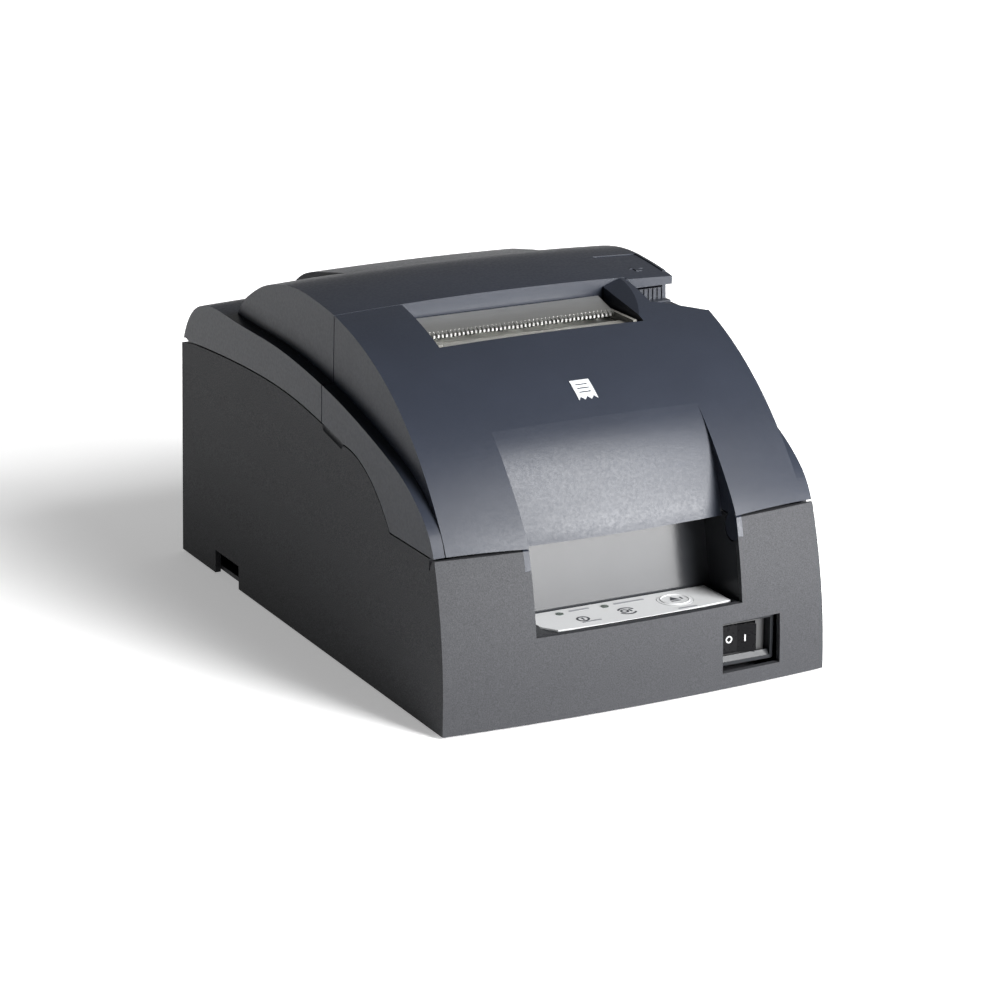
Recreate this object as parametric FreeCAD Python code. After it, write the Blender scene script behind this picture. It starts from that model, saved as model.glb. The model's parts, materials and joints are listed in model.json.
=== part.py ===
"""Impact receipt printer: casing, covers, print mechanism, cutter, ribbon and electronics.

Millimetres, +Z up, the front faces -Y and +X is on the right seen from the front.
The origin is on the table under the middle of the casing.
"""
import FreeCAD, Part
import math
import os

V = FreeCAD.Vector
X_AXIS = V(1, 0, 0)
Y_AXIS = V(0, 1, 0)
Z_AXIS = V(0, 0, 1)

# ---- driving dimensions -------------------------------------------------------------------
WIDTH = 160.0
DEPTH = 248.0
HALF_W = WIDTH / 2
FRONT_Y = -DEPTH / 2
REAR_Y = DEPTH / 2
CASE_BOTTOM = 0.8
SEAM_Z = 64.3            # front seam between case and front cover
SEAM_GAP = 0.6
WALL = 2.4
SIDE_DRAFT = 0.0203      # inward lean of the side walls per mm of height
COVER_SPLIT_Y = -15.0    # seam between front cover and paper cover
HUMP_HALF_LOW = 74.6     # half width of the raised middle at z = 60
HUMP_HALF_HIGH = 72.0    # and at z = 135
DOME_HALF_LOW = 50.0
DOME_HALF_HIGH = 45.0
FRONT_BULGE = 6.4        # how far the middle of the front face stands proud of its corners
LOW_BULGE = 3.7          # the same at the foot of the case
TOP_CROWN = 1.9          # rise of the top surfaces at the middle of their width
DOME_CROWN = 1.7         # the same for the dome over the paper roll
PANEL_HALF = 43.0        # sunk centre panel of the front cover, and the recess below it

FRONT_HINGE = (-113.5, 60.0)      # y, z of the front cover's hinge line
FRONT_BARREL_R = 5.1
REAR_HINGE = (119.0, 87.0)        # y, z of the paper cover's hinge line
REAR_BARREL_R = 5.0
HINGE_PIN_R = 1.5
RUNNING_GAP = 0.05
EAR_X = (43.1, 45.4)              # the front cover's hinge discs, just inside the case barrels

# side view outlines (y, z), from front to rear, along the edges of each solid
HUMP_EDGE = [(-114.6, 58.0), (-112.7, 64.3), (-105.8, 75.6), (-98.3, 85.0), (-90.5, 93.5), (-79.0, 103.7),
             (-59.6, 116.5), (-39.6, 125.1), (-14.8, 131.4), (2.0, 133.4), (18.0, 134.2), (40.0, 131.4),
             (51.1, 128.3), (62.6, 123.0), (73.3, 115.6), (77.5, 108.0)]
FENDER_EDGE = [(-113.2, 58.0), (-111.3, 64.3), (-106.6, 72.8), (-99.6, 79.2), (-88.2, 86.1), (-70.6, 92.6),
               (-52.6, 97.6), (-32.1, 102.3), (1.8, 107.7), (30.0, 110.2), (70.0, 111.0), (98.0, 110.6),
               (109.3, 106.6), (117.0, 99.6), (121.4, 91.4), (122.9, 83.0)]
DOME_EDGE = [(4.0, 131.4), (20.0, 133.0), (32.0, 132.6), (46.0, 130.6), (60.0, 127.9), (73.0, 124.6),
             (79.5, 120.4), (82.5, 112.0)]
SIDE_SEAM = [(123.9, 89.6), (112.9, 91.4), (99.1, 92.6), (69.8, 94.2), (41.7, 94.8), (14.5, 93.9),
             (-14.2, 90.5), (-34.8, 86.9), (-53.3, 82.5), (-67.2, 72.8), (-75.0, 64.2)]

# print mechanism
FRAME_HALF = 58.0
FRAME_T = 1.5
FRAME_Z = 60.0
FEED_AXIS = (-20.6, 112.0)
FEED_R = 6.0
PINCH_AXIS = (-10.0, 112.0)
PINCH_R = 4.5
SHAFT_AXIS = (-46.0, 80.0)
SHAFT_R = 4.0
PULLEY_X = 47.0
PULLEY_Y = -63.0
PULLEY_R = 6.0
BELT_Z = (71.0, 77.0)
BELT_T = 1.2
MODULE = 0.8
MOTOR_TEETH = 12
IDLER_TEETH = 33
FEED_TEETH = 30
GEAR_X = (-64.0, -60.2)
MOTOR_AXIS = (-32.0, 70.5)
CUTTER_TEETH = 15
CUTTER_AXIS = (-34.0, 112.0)
ROLL_AXIS = (42.0, 88.0)
ROLL_R = 44.0


# ---- helpers ------------------------------------------------------------------------------
def box(x, y, z):
    """Box from (low, high) pairs."""
    return Part.makeBox(x[1] - x[0], y[1] - y[0], z[1] - z[0], V(x[0], y[0], z[0]))


def rod(radius, start, end, axis, centre):
    """Cylinder along 'x', 'y' or 'z' from start to end, centred on the two other coordinates."""
    direction = {"x": X_AXIS, "y": Y_AXIS, "z": Z_AXIS}[axis]
    foot = {"x": V(start, *centre), "y": V(centre[0], start, centre[1]), "z": V(*centre, start)}[axis]
    return Part.makeCylinder(radius, end - start, foot, direction)


def prism(points, x_low, x_high):
    """Polygon in the YZ plane, extruded along X."""
    ring = [V(x_low, y, z) for y, z in points]
    face = Part.Face(Part.makePolygon(ring + ring[:1]))
    return face.extrude(V(x_high - x_low, 0, 0))


def cross_prism(points, y_low, y_high):
    """Polygon in the XZ plane, extruded along Y."""
    ring = [V(x, y_low, z) for x, z in points]
    face = Part.Face(Part.makePolygon(ring + ring[:1]))
    return face.extrude(V(0, y_high - y_low, 0))


def plate(points, z_low, z_high):
    """Polygon in the XY plane, extruded upwards."""
    ring = [V(x, y, z_low) for x, y in points]
    face = Part.Face(Part.makePolygon(ring + ring[:1]))
    return face.extrude(V(0, 0, z_high - z_low))


def fuse(shapes):
    shapes = list(shapes)
    return shapes[0].multiFuse(shapes[1:]).removeSplitter() if len(shapes) > 1 else shapes[0]


def inset_points(points, inset):
    """Outline moved inwards (down and away from the outside) along its own normals."""
    moved = []
    for i, (y, z) in enumerate(points):
        before = points[max(i - 1, 0)]
        after = points[min(i + 1, len(points) - 1)]
        dy, dz = after[0] - before[0], after[1] - before[1]
        length = math.hypot(dy, dz)
        moved.append((y + inset * dz / length, z - inset * dy / length))
    return moved


def crowned(points, x, half, top, front):
    """Outline at station x: the middle stands proud upwards on top and forwards at the front."""
    swell = 1 - (x / half) ** 2
    moved = []
    for y, z in points:
        turn = min(max((-y - 55.0) / 55.0, 0.0), 1.0)
        angle = turn * turn * (3 - 2 * turn) * math.pi / 2
        amount = (top + (front - top) * turn) * swell
        moved.append((y - amount * math.sin(angle), z + amount * math.cos(angle)))
    return moved


def swollen_solid(points, floor_z, half, top, front, inset=0.0):
    """Solid lofted over X from a smooth side outline that is closed down to floor_z."""
    if inset:
        points = inset_points(points, inset)
    stations = [-half, -0.5 * half, 0.0, 0.5 * half, half]
    wires = []
    for x in stations:
        line = crowned(points, x, half, top, front)
        curve = Part.BSplineCurve()
        curve.interpolate([V(x, y, z) for y, z in line])
        first, last = V(x, *line[0]), V(x, *line[-1])
        low_first, low_last = V(x, line[0][0], floor_z), V(x, line[-1][0], floor_z)
        edges = [curve.toShape(), Part.makeLine(last, low_last), Part.makeLine(low_last, low_first),
                 Part.makeLine(low_first, first)]
        wires.append(Part.Wire(edges))
    return Part.makeLoft(wires, True)


def side_limits(half_low, z_low, half_high, z_high, inset=0.0):
    """Long wedge that trims a solid to sloping side walls."""
    low, high = half_low - inset, half_high - inset
    corners = [(-low, z_low), (low, z_low), (high, z_high), (-high, z_high)]
    return cross_prism(corners, FRONT_Y - 20, REAR_Y + 20)


def gear(teeth, x_low, x_high, centre, bore, turn=0.0):
    """Spur gear on an X axis with straight-flanked teeth and a little backlash."""
    pitch_r = MODULE * teeth / 2
    tip_r, root_r = pitch_r + 0.8 * MODULE, pitch_r - 1.2 * MODULE
    step = 2 * math.pi / teeth
    ring = []
    for i in range(teeth):
        mid = i * step + turn
        for radius, offset in ((root_r, -0.30), (tip_r, -0.11), (tip_r, 0.11), (root_r, 0.30)):
            angle = mid + offset * step
            ring.append((centre[0] + radius * math.cos(angle), centre[1] + radius * math.sin(angle)))
    return prism(ring, x_low, x_high).cut(rod(bore, x_low - 1, x_high + 1, "x", centre))


def polar(centre, radius, angle):
    return centre[0] + radius * math.cos(angle), centre[1] + radius * math.sin(angle)


# ---- outer envelopes ----------------------------------------------------------------------
def front_wall_y(z, x):
    """Front face: upright low down, leaning back in an arc, and bulging between its corners."""
    lean_start, lean_r = 10.0, 170.0
    bulge = LOW_BULGE + (FRONT_BULGE - LOW_BULGE) * (z / SEAM_Z) ** 2
    corner = FRONT_Y + LOW_BULGE + max(z - lean_start, 0.0) ** 2 / (2 * lean_r)
    return corner - bulge * (1 - (x / HALF_W) ** 2)


def case_envelope(inset=0.0):
    levels = [CASE_BOTTOM, 12.0, 25.0, 40.0, 52.0, 64.3, 72.0]
    stations = [-HALF_W - 1, -0.5 * HALF_W, 0.0, 0.5 * HALF_W, HALF_W + 1]
    wires = []
    for x in stations:
        line = [(front_wall_y(z, x) + inset, z) for z in levels]
        curve = Part.BSplineCurve()
        curve.interpolate([V(x, y, z) for y, z in line])
        top_z, rear_low, rear_high = 98.0, REAR_Y - inset, REAR_Y - 1.0 - inset
        corner = V(x, -70.0, top_z)
        edges = [curve.toShape(), Part.makeLine(V(x, *line[-1]), corner)]
        edges.append(Part.makeLine(corner, V(x, rear_high, top_z)))
        edges.append(Part.makeLine(V(x, rear_high, top_z), V(x, rear_low, CASE_BOTTOM)))
        edges.append(Part.makeLine(V(x, rear_low, CASE_BOTTOM), V(x, *line[0])))
        wires.append(Part.Wire(edges))
    sides = side_limits(HALF_W, 0.0, HALF_W - 140 * SIDE_DRAFT, 140.0, inset)
    return Part.makeLoft(wires, True).common(sides)


def cover_envelope(inset=0.0):
    fender = swollen_solid(FENDER_EDGE, 56.0, HALF_W, TOP_CROWN, FRONT_BULGE, inset)
    fender = fender.common(side_limits(HALF_W, 0.0, HALF_W - 140 * SIDE_DRAFT, 140.0, inset))
    hump = swollen_solid(HUMP_EDGE, 56.0, HUMP_HALF_LOW + 0.4, TOP_CROWN, FRONT_BULGE - 1.0, inset)
    hump = hump.common(side_limits(HUMP_HALF_LOW, 55.0, HUMP_HALF_HIGH, 140.0, inset))
    dome = swollen_solid(DOME_EDGE, 100.0, HUMP_HALF_LOW, DOME_CROWN, DOME_CROWN, inset)
    dome = dome.common(side_limits(DOME_HALF_LOW + 3, 98.0, DOME_HALF_HIGH - 4, 140.0, inset))
    return fuse([fender, hump, dome])


def above_seam(gap):
    """Everything above the line where the covers meet the case, lifted by gap."""
    points = [(y, z + gap) for y, z in SIDE_SEAM]
    curve = Part.BSplineCurve()
    curve.interpolate([V(-90, y, z) for y, z in points[:8]])
    bend = Part.BSplineCurve()
    bend.interpolate([V(-90, y, z) for y, z in points[7:]])
    front_z = SEAM_Z + gap
    rest = [V(-90, *points[-1]), V(-90, -75.2, front_z), V(-90, -140, front_z), V(-90, -140, 160),
            V(-90, 140, 160), V(-90, 140, points[0][1]), V(-90, *points[0])]
    edges = [curve.toShape(), bend.toShape()] + [Part.makeLine(a, b) for a, b in zip(rest, rest[1:])]
    return Part.Face(Part.Wire(edges)).extrude(V(180, 0, 0))


# ---- casing -------------------------------------------------------------------------------
RECESS_FLOOR = 33.0
RECESS_BACK = -98.0        # at the floor; the back wall leans back by RECESS_LEAN per mm of height
RECESS_LEAN = 0.19
SWITCH_X = (34.2, 59.7)
SWITCH_Z = (7.0, 26.2)
REAR_OPENING_X = (-46.0, 46.0)
REAR_OPENING_Z = (12.0, 46.0)
BOSS_Y = (-98.0, 0.0, 106.0)
BOSS_X = 70.0


def finger_groove(side):
    """Round-ended groove under the seam, for lifting the front cover."""
    radius, start, end = 2.2, V(side * 79.7, -17.5, 89.6), V(side * 79.7, -32.5, 86.9)
    run = Part.makeCylinder(radius, (end - start).Length, start, end - start)
    return fuse([run, Part.makeSphere(radius, start), Part.makeSphere(radius, end)])


def lower_case():
    outer = case_envelope()
    inner = case_envelope(WALL).common(box((-90, 90), (-130, 130), (-1, 99)))
    half_open = HALF_W - WALL
    underside = box((-half_open, half_open), (-113, REAR_Y - WALL), (CASE_BOTTOM - 1, CASE_BOTTOM + 1))
    shell = outer.cut(inner).cut(underside)
    posts = [(sx, y) for sx in (-1, 1) for y in BOSS_Y]
    bosses = [box((sx * BOSS_X - 5, sx * BOSS_X + 5), (y - 5, y + 5), (3.6, 16)) for sx, y in posts]
    ribs = [box(sorted((sx * (BOSS_X + 4), sx * 78.6)), (y - 2, y + 2), (3.6, 16)) for sx, y in posts]
    barrel = rod(FRONT_BARREL_R, EAR_X[1] + RUNNING_GAP, 76.0, "x", FRONT_HINGE)
    barrels = [barrel, barrel.mirror(V(0, 0, 0), X_AXIS)]
    rear_spans = ((-77, -71), (-63, 63), (71, 77))
    rear_barrels = [rod(REAR_BARREL_R, low, high, "x", REAR_HINGE) for low, high in rear_spans]
    solid = fuse([shell] + [s.common(outer) for s in bosses + ribs + barrels + rear_barrels])
    solid = solid.cut(box((-PANEL_HALF, PANEL_HALF), (-140, RECESS_BACK), (RECESS_FLOOR, SEAM_Z + 5)))
    solid = solid.cut(above_seam(0.0))
    keep_front = fuse([rod(FRONT_BARREL_R, -90, 90, "x", FRONT_HINGE),
                       box((-90, 90), (-107.6, -70), (40, 70)),
                       box((-90, 90), (-140, -60), (-1, FRONT_HINGE[1]))])
    trim_zone = box((-90, 90), (-140, -107.6), (FRONT_HINGE[1], 90)).cut(keep_front)
    solid = solid.cut(trim_zone)
    rear_zone = box((-90, 90), (REAR_HINGE[0] - 1, 140), (REAR_HINGE[1], 120))
    solid = solid.cut(rear_zone.cut(rod(REAR_BARREL_R, -90, 90, "x", REAR_HINGE)))
    knuckles = [box((low, high), (REAR_HINGE[0] - 6.2, 140), (REAR_HINGE[1] - 6.2, 120))
                for low, high in ((-71, -63), (63, 71))]
    pin_holes = [rod(HINGE_PIN_R, -76, 76, "x", REAR_HINGE)]
    pin_holes += [rod(HINGE_PIN_R, *span, "x", FRONT_HINGE) for span in ((-56, -42), (42, 56))]
    ear_end = EAR_X[1] + RUNNING_GAP
    pin_holes += [rod(FRONT_BARREL_R, *span, "x", FRONT_HINGE) for span in ((-ear_end, -42), (42, ear_end))]
    switch = box(SWITCH_X, (-140, -100), SWITCH_Z)
    notches = [box(sorted((sx * 76, sx * 90)), (65, 89), (-1, 10.5)) for sx in (-1, 1)]
    rear_opening = box(REAR_OPENING_X, (REAR_Y - 5, REAR_Y + 5), REAR_OPENING_Z)
    holes = [rod(1.5, 3, 14, "z", (sx * BOSS_X, y)) for sx, y in posts]
    grooves = [finger_groove(sx) for sx in (-1, 1)]
    openings = [switch, rear_opening, label_well()] + notches + holes + grooves
    return solid.cut(fuse(knuckles + pin_holes + openings))


BUTTON_XY = (22.5, -107.5)
LENS_XY = [(-23.2, -102.4), (-4.4, -102.4)]


def recess_space(rear, half):
    """Space in front of the leaning back wall of the recess, open to the front and the top."""
    top = SEAM_Z + 5
    rear_top = rear + RECESS_LEAN * (top - RECESS_FLOOR)
    outline = [(-140, RECESS_FLOOR), (rear, RECESS_FLOOR), (rear_top, top), (-140, top)]
    return prism(outline, -half, half)


def label_well():
    return box((-36.5, 41.0), (-119.5, RECESS_BACK + 0.6), (RECESS_FLOOR - 0.5, RECESS_FLOOR + 1))


def control_tray():
    """Smooth open box behind the case front: the floor, back and sides of the control recess."""
    outside = recess_space(RECESS_BACK + WALL, PANEL_HALF + WALL)
    outside = outside.fuse(box((-PANEL_HALF - WALL, PANEL_HALF + WALL), (-125, RECESS_BACK + WALL),
                               (RECESS_FLOOR - 1.0 - WALL, RECESS_FLOOR)))
    outside = outside.cut(box((-90, 90), (-140, -80), (SEAM_Z, 80)))
    tray = outside.common(case_envelope(WALL + RUNNING_GAP)).cut(recess_space(RECESS_BACK, PANEL_HALF))
    barrels = rod(FRONT_BARREL_R + 0.5, -50, 50, "x", FRONT_HINGE)
    button_hole = rod(7.2, RECESS_FLOOR - 6, RECESS_FLOOR + 1, "z", BUTTON_XY)
    lens_holes = [rod(1.7, RECESS_FLOOR - 6, RECESS_FLOOR + 1, "z", xy) for xy in LENS_XY]
    return tray.cut(fuse([barrels, label_well(), button_hole] + lens_holes))


def cover_shell():
    return cover_envelope().cut(cover_envelope(WALL - 0.2))


def panel_cutter(spare):
    """Space in front of the sunk centre panel; spare thickens it for the panel's own wall."""
    wires = []
    fade = [inset_points(HUMP_EDGE, depth)[i] for i, depth in ((4, 0.55), (5, -0.12), (6, -1.2))]
    line = inset_points([(-103.2, 60.0), (-101.8, 68.0), (-99.0, 76.5), (-94.5, 86.5)] + fade, spare)
    half = PANEL_HALF + spare
    for x in (-half, 0.0, half):
        line_here = crowned(line, x, HUMP_HALF_LOW, TOP_CROWN, FRONT_BULGE - 1.0)
        curve = Part.BSplineCurve()
        curve.interpolate([V(x, y, z) for y, z in line_here])
        first, last = line_here[0], line_here[-1]
        corners = [V(x, *last), V(x, last[0] - 1, 130.0), V(x, -135, 130.0), V(x, -135, first[1]),
                   V(x, *first)]
        edges = [curve.toShape()] + [Part.makeLine(a, b) for a, b in zip(corners, corners[1:])]
        wires.append(Part.Wire(edges))
    return Part.makeLoft(wires, True)


PANEL_FOOT_Z = 62.6        # lower edge of the sunk centre panel
SLOT_X = (-44.5, 42.0)
SLOT_FRONT = -47.3
LEVER_X = (52.0, 70.6)
LEVER_Y = (-16.2, 11.0)
LEVER_GRIP_REAR = -10.8    # in front of this the lever reaches right out to the side of the cover
LEVER_HINGE = (8.0, 129.6)


def scoop_solid(x_low, spare):
    """Space for a fingertip in the cover's right shoulder; spare thickens it for its own floor."""
    floor = [(-14.0, 120.4), (-26.0, 120.4), (-34.0, 121.0), (-41.0, 122.6), (-48.0, 126.0)]
    floor = [(y, z - spare) for y, z in floor]
    curve = Part.BSplineCurve()
    curve.interpolate([V(x_low, y, z) for y, z in floor])
    corners = [V(x_low, *floor[-1]), V(x_low, floor[-1][0], 140), V(x_low, floor[0][0], 140),
               V(x_low, *floor[0])]
    edges = [curve.toShape()] + [Part.makeLine(a, b) for a, b in zip(corners, corners[1:])]
    solid = Part.Face(Part.Wire(edges)).extrude(V(90 - x_low, 0, 0))
    swept_corner = plate([(x_low - 5, -36.0 - spare), (x_low + 2, -36.0 - spare), (90, -52.0 - spare),
                          (90, -70), (x_low - 5, -70)], 100, 150)
    return solid.cut(swept_corner)


RAMP_LOW_Z = 124.2         # height of the ramp at its low front corner
RAMP_RISE_Y = 0.172        # its rise per mm towards the rear
RAMP_RISE_X = 0.346        # and per mm to the right


def slot_splay(spare):
    """Space above the ramp at the right end of the paper slot; spare thickens it for its own floor."""
    low_x, low_y = SLOT_X[1], SLOT_FRONT - 0.7
    inner_x = low_x - 0.5
    corners = []
    for x, y in ((inner_x, SLOT_FRONT - 4.0), (inner_x, -13.0), (low_x + 11.0, -13.0)):
        ramp_z = RAMP_LOW_Z + RAMP_RISE_Y * (y - low_y) + RAMP_RISE_X * (x - low_x)
        corners.append(V(x, y, ramp_z - spare))
    return Part.Face(Part.makePolygon(corners + corners[:1])).extrude(V(0, 0, 20))


def front_cover(shell):
    region = box((-90, 90), (-140, COVER_SPLIT_Y - SEAM_GAP / 2), (50, 150))
    envelope = cover_envelope()
    cover = shell.common(region)
    cheeks = box((SLOT_X[0] - 2, SLOT_X[1] + 2), (SLOT_FRONT - 2, COVER_SPLIT_Y - SEAM_GAP / 2), (118, 150))
    sill = scoop_solid(LEVER_X[0] - 2.6, 2.0)
    filler = panel_cutter(WALL - 0.2)
    splay = slot_splay(2.0)
    inside = envelope.common(region)
    cover = fuse([cover] + [s.common(inside) for s in (cheeks, sill, filler, splay)])
    cover = cover.cut(panel_cutter(0.0))
    cover = cover.cut(box(SLOT_X, (SLOT_FRONT, 0), (110, 150)))
    cover = cover.cut(scoop_solid(LEVER_X[0] - 0.6, 0.0)).cut(slot_splay(0.0))
    panel_foot = box((-PANEL_HALF + 0.3, PANEL_HALF - 0.3), (-108, -90), (PANEL_FOOT_Z, 70))
    cover = cover.common(fuse([above_seam(SEAM_GAP), panel_foot]))
    cover = cover.cut(rod(FRONT_BARREL_R + 0.5, -90, 90, "x", FRONT_HINGE))
    ears = []
    for side in (-1, 1):
        span = sorted((side * EAR_X[0], side * EAR_X[1]))
        disc = rod(FRONT_BARREL_R - RUNNING_GAP, *span, "x", FRONT_HINGE).common(case_envelope())
        web = box(span, (-114.5, -110.0), (64.0, 68.0)).common(envelope)
        ears += [disc, web]
    cover = fuse([cover] + ears)
    bores = [rod(HINGE_PIN_R + RUNNING_GAP, *sorted((side * (EAR_X[0] + 0.8), side * 47.0)), "x", FRONT_HINGE)
             for side in (-1, 1)]
    return cover.cut(fuse(bores))


def paper_cover(shell):
    region = box((-90, 90), (COVER_SPLIT_Y + SEAM_GAP / 2, 140), (60, 150))
    envelope = cover_envelope()
    cover = shell.common(region)
    wall_y = (COVER_SPLIT_Y + SEAM_GAP / 2, COVER_SPLIT_Y + SEAM_GAP / 2 + 2)
    front_wall = box((-50, 50), wall_y, (119, 150)).fuse(box((-71, 71), wall_y, (126, 150)))
    pocket = box((LEVER_X[0] - 2, LEVER_X[1] + 1.6), (COVER_SPLIT_Y + 0.3, LEVER_Y[1] + 2.5), (119.5, 150))
    bosses = [box((low, high), (-14.2, -4.0), (106, 130)) for low, high in ((-45, -41), (41, 45))]
    cover = fuse([cover] + [s.common(envelope) for s in [front_wall, pocket] + bosses])
    cover = cover.cut(box((LEVER_X[0] - 0.3, LEVER_X[1] + 0.3), (-20, LEVER_Y[1] + 0.4), (125.6, 150)))
    cover = cover.cut(box((LEVER_X[0] - 0.3, 90), (-20, LEVER_GRIP_REAR), (121, 150)))
    ribs = [box((x, x + 0.9), (LEVER_GRIP_REAR - 1, LEVER_GRIP_REAR + 0.5), (121, 125.4))
            for x in [LEVER_X[0] + 2.0 + 2.0 * i for i in range(9)]]
    cover = cover.cut(fuse(ribs)).common(above_seam(SEAM_GAP))
    cover = cover.cut(rod(REAR_BARREL_R + 0.5, -90, 90, "x", REAR_HINGE))
    knuckles = []
    for low, high in ((-70.7, -63.3), (63.3, 70.7)):
        knuckles.append(rod(REAR_BARREL_R, low, high, "x", REAR_HINGE))
        arm = [(114.1, 87.0), (120.0, 89.5), (120.3, 92.0), (118.0, 96.0), (115.2, 99.3), (111.5, 98.0)]
        knuckles.append(prism(arm, low, high))
    cover = fuse([cover] + knuckles)
    lever_bore = rod(0.85, LEVER_X[0] - 1.8, LEVER_X[1] + 1.4, "x", LEVER_HINGE)
    pinch_bore = rod(1.5, -43.5, 43.5, "x", PINCH_AXIS)
    rear_bore = rod(HINGE_PIN_R + RUNNING_GAP, -72, 72, "x", REAR_HINGE)
    platen_seat = box((-45.1, 45.1), (-14.3, -13.0), (100, 107))
    return cover.cut(fuse([lever_bore, pinch_bore, rear_bore, platen_seat]))


def release_lever():
    envelope = cover_envelope()
    lid = box(LEVER_X, (LEVER_Y[0], LEVER_Y[1] - 0.8), (126.4, 150))
    grip = box((LEVER_X[0], 72.2), (LEVER_Y[0], LEVER_GRIP_REAR - 0.3), (126.4, 150))
    lid = lid.fuse(grip).common(envelope.translated(V(0, 0, -0.3)))
    lid = lid.cut(envelope.translated(V(0, 0, -2.3)))
    lip = box((LEVER_X[0], 72.2), (LEVER_Y[0], LEVER_Y[0] + 1.6), (127.9, 150))
    lip = lip.common(envelope.translated(V(0, 0, -0.3)))
    boss = rod(2.0, LEVER_X[0], LEVER_X[1], "x", LEVER_HINGE)
    web = box(LEVER_X, (LEVER_HINGE[0] - 1.5, LEVER_HINGE[0] + 1.5), (LEVER_HINGE[1], 150))
    web = web.common(envelope.translated(V(0, 0, -0.3)))
    arrow = plate([(60.2, -9.0), (62.8, -9.0), (62.8, -6.4), (64.4, -6.4), (61.5, -3.2), (58.6, -6.4),
                   (60.2, -6.4)], 120, 150)
    arrow = arrow.common(envelope.translated(V(0, 0, -0.05))).cut(envelope.translated(V(0, 0, -1.0)))
    solid = fuse([lid, lip, boss, web, arrow])
    return solid.cut(rod(0.8 + RUNNING_GAP, LEVER_X[0] - 1, LEVER_X[1] + 1, "x", LEVER_HINGE))


BASE_Z = (1.6, 3.4)


def base_plate():
    half, steps = HALF_W - WALL - 0.5, 8
    front = []
    for i in range(steps + 1):
        x = -half + 2 * half * i / steps
        front.append((x, front_wall_y(BASE_Z[0], x) + WALL + 0.5))
    floor = plate(front + [(half, REAR_Y - WALL - 0.4), (-half, REAR_Y - WALL - 0.4)], *BASE_Z)
    posts = [rod(4.0, 3.4, FRAME_Z, "z", xy) for xy in FRAME_POSTS]
    bucket_posts = [rod(4.0, 3.4, 42.3, "z", (x, ROLL_AXIS[0])) for x in (-30, 30)]
    holes = [rod(1.7, 0, 5, "z", (sx * BOSS_X, y)) for sx in (-1, 1) for y in BOSS_Y]
    post_holes = [rod(1.25, FRAME_Z - 9, FRAME_Z + 1, "z", xy) for xy in FRAME_POSTS]
    return fuse([floor] + posts + bucket_posts).cut(fuse(holes + post_holes))


FRAME_POSTS = [(sx * 53.0, y) for sx in (-1, 1) for y in (-84.0, -22.0)]
FOOT_XY = [(sx * 56.0, y) for sx in (-1, 1) for y in (-96.0, 100.0)]


def rubber_feet():
    return Part.makeCompound([rod(8.0, 0, 1.6, "z", xy) for xy in FOOT_XY])


def screw(xy, head_z, head_h, shank_r, shank_to, head_r):
    """Pan head screw on a Z axis, its head at head_z, its shank going to shank_to."""
    head = rod(head_r, min(head_z, head_z + head_h), max(head_z, head_z + head_h), "z", xy)
    low, high = sorted((head_z, shank_to))
    slot_z = sorted((head_z + head_h, head_z + 0.5 * head_h))
    slot = box((xy[0] - head_r, xy[0] + head_r), (xy[1] - 0.3, xy[1] + 0.3), slot_z)
    return head.fuse(rod(shank_r, low, high, "z", xy)).cut(slot)


def base_screws():
    places = [(sx * BOSS_X, y) for sx in (-1, 1) for y in BOSS_Y]
    return Part.makeCompound([screw(xy, 1.6, -1.0, 1.45, 12, 3.0) for xy in places])


def frame_screws():
    top = FRAME_Z + FRAME_T
    return Part.makeCompound([screw(xy, top, 1.6, 1.2, FRAME_Z - 8, 2.8) for xy in FRAME_POSTS])


# ---- controls -----------------------------------------------------------------------------
OVERLAY_Z = (RECESS_FLOOR - 0.5, RECESS_FLOOR + 0.1)


def control_overlay():
    sheet = plate([(-36.2, -111.6), (-32.0, -117.8), (-18, -119.0), (0, -119.3), (20, -119.0),
                   (40.6, -117.2), (40.6, -98.2), (-36.2, -98.2)], *OVERLAY_Z)
    holes = [rod(1.6, 30, 36, "z", xy) for xy in LENS_XY] + [rod(7.0, 30, 36, "z", BUTTON_XY)]
    return sheet.cut(fuse(holes))


def status_lenses():
    lenses = []
    for xy in LENS_XY:
        lenses.append(rod(1.5, RECESS_FLOOR - 5.2, RECESS_FLOOR + 0.25, "z", xy))
    return Part.makeCompound(lenses)


def feed_button():
    cap = rod(6.8, RECESS_FLOOR - 3.2, RECESS_FLOOR + 0.15, "z", BUTTON_XY)
    rim = Part.makeTorus(5.4, 0.3, V(BUTTON_XY[0], BUTTON_XY[1], RECESS_FLOOR + 0.1))
    return cap.fuse(rim)


def control_board():
    board = box((-36, 32), (-117, -99), (24.0, 25.6))
    switch = box((BUTTON_XY[0] - 3, BUTTON_XY[0] + 3), (BUTTON_XY[1] - 3, BUTTON_XY[1] + 3), (25.6, 28.6))
    header = box((-10, 6), (-104, -100.5), (16, 24))
    leds = [box((x - 1.2, x + 1.2), (y - 1.2, y + 1.2), (25.6, 27.4)) for x, y in LENS_XY]
    trim = box((-37, 41), (-125, -112.8), (20, 30)).cut(case_envelope(WALL + 0.8))
    return fuse([board, switch, header] + leds).cut(trim)


ROCKER_AXIS = (45.4, -112.6)
ROCKER_HALF = 7.2
ROCKER_TILT = 7.0        # degrees either side of level; it rests with its left side in
SWITCH_MID_Z = (SWITCH_Z[0] + SWITCH_Z[1]) / 2


BEZEL_GAP = 0.9          # dark line between the bezel and the edge of its opening


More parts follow.
